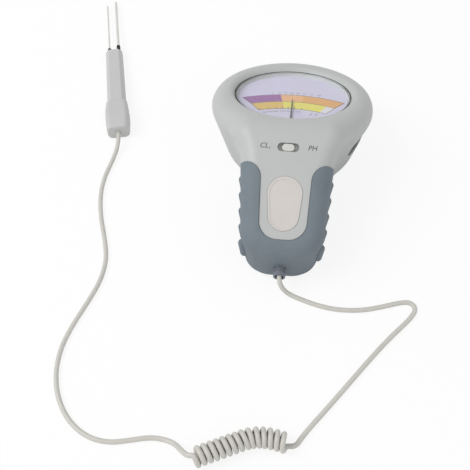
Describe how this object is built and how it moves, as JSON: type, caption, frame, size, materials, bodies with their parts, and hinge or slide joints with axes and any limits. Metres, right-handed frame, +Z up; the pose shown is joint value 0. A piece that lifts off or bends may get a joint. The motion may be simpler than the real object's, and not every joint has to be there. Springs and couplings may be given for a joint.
{
  "type": "chlorine and ph tester",
  "caption": "Handheld pool water tester with a tilted round dial, slide switch, rubber grip and side pocket, and a pin probe on a partly curly cord.",
  "frame": {"origin": "middle of the tester's flat back, on the surface it lies on", "axes": "+Z up out of the front, +Y from the tail towards the head with the dial, +X to the right seen from the front"},
  "size_m": [0.2112, 0.3224, 0.0566],
  "materials": {
    "shell_grey": "fine satin moulded plastic, light grey",
    "grip_rubber": "soft matt rubber, slate grey",
    "clear_lens": "clear polished window",
    "dial_print": "printed scale on a pale plate",
    "needle_black": "matt dark paint",
    "steel": "fine turned or plated steel",
    "copper": "enamelled winding wire",
    "magnet": "plain magnet alloy",
    "brass": "turned brass",
    "frame_plastic": "black moulded plastic",
    "board": "green board",
    "component": "small moulded components",
    "knob_grey": "light grey plastic",
    "label": "satin warm beige",
    "liner_black": "matt black",
    "gland": "dark grey flexible moulding",
    "cord": "smooth light grey cord jacket",
    "wire": "thin insulated wire",
    "probe_grey": "satin light grey plastic",
    "electrode": "polished metal pin",
    "seal": "black rubber"
  },
  "bodies": {
    "tester": {"front_shell": "shell_grey", "rear_shell": "shell_grey", "grip_boot": "grip_rubber", "lens": "clear_lens", "dial_plate": "dial_print", "magnet_core": "magnet", "yoke_ring": "steel", "top_bridge": "brass", "bottom_bridge": "brass", "pivot_bearings": "brass", "hairspring": "steel", "movement_frame": "frame_plastic", "frame_screws": "steel", "circuit_board": "board", "board_screws": "steel", "trimmers": "component", "resistors": "component", "switch_case": "steel", "switch_terminals": "steel", "label_plate": "label", "pocket_liner": "liner_black", "housing_screws": "steel", "cord_gland": "gland", "lead_wires": "wire", "probe_collar": "probe_grey", "probe_body": "probe_grey", "electrode_left": "electrode", "electrode_right": "electrode", "electrode_seals": "seal", "cord_lead_meter": "cord", "cord_coil": "cord", "cord_lead_probe": "cord"},
    "needle_assembly": {"needle": "needle_black", "needle_shaft": "steel", "lower_pivot": "steel", "moving_coil": "copper"},
    "switch_assembly": {"switch_knob": "knob_grey", "switch_slider": "frame_plastic"}
  },
  "joints": [
    {"name": "needle_swing", "type": "hinge", "parent": "tester", "child": "needle_assembly", "pos_m": [0, -0.00703, 0.05172], "axis": [0, 0.3827, 0.9239], "range_deg": [-30, 30], "stiffness_Nm_per_rad": 0.0002},
    {"name": "switch_slide", "type": "slide", "parent": "tester", "child": "switch_assembly", "axis": [1, 0, 0], "range_m": [-0.0019, 0.0019]}
  ]
}
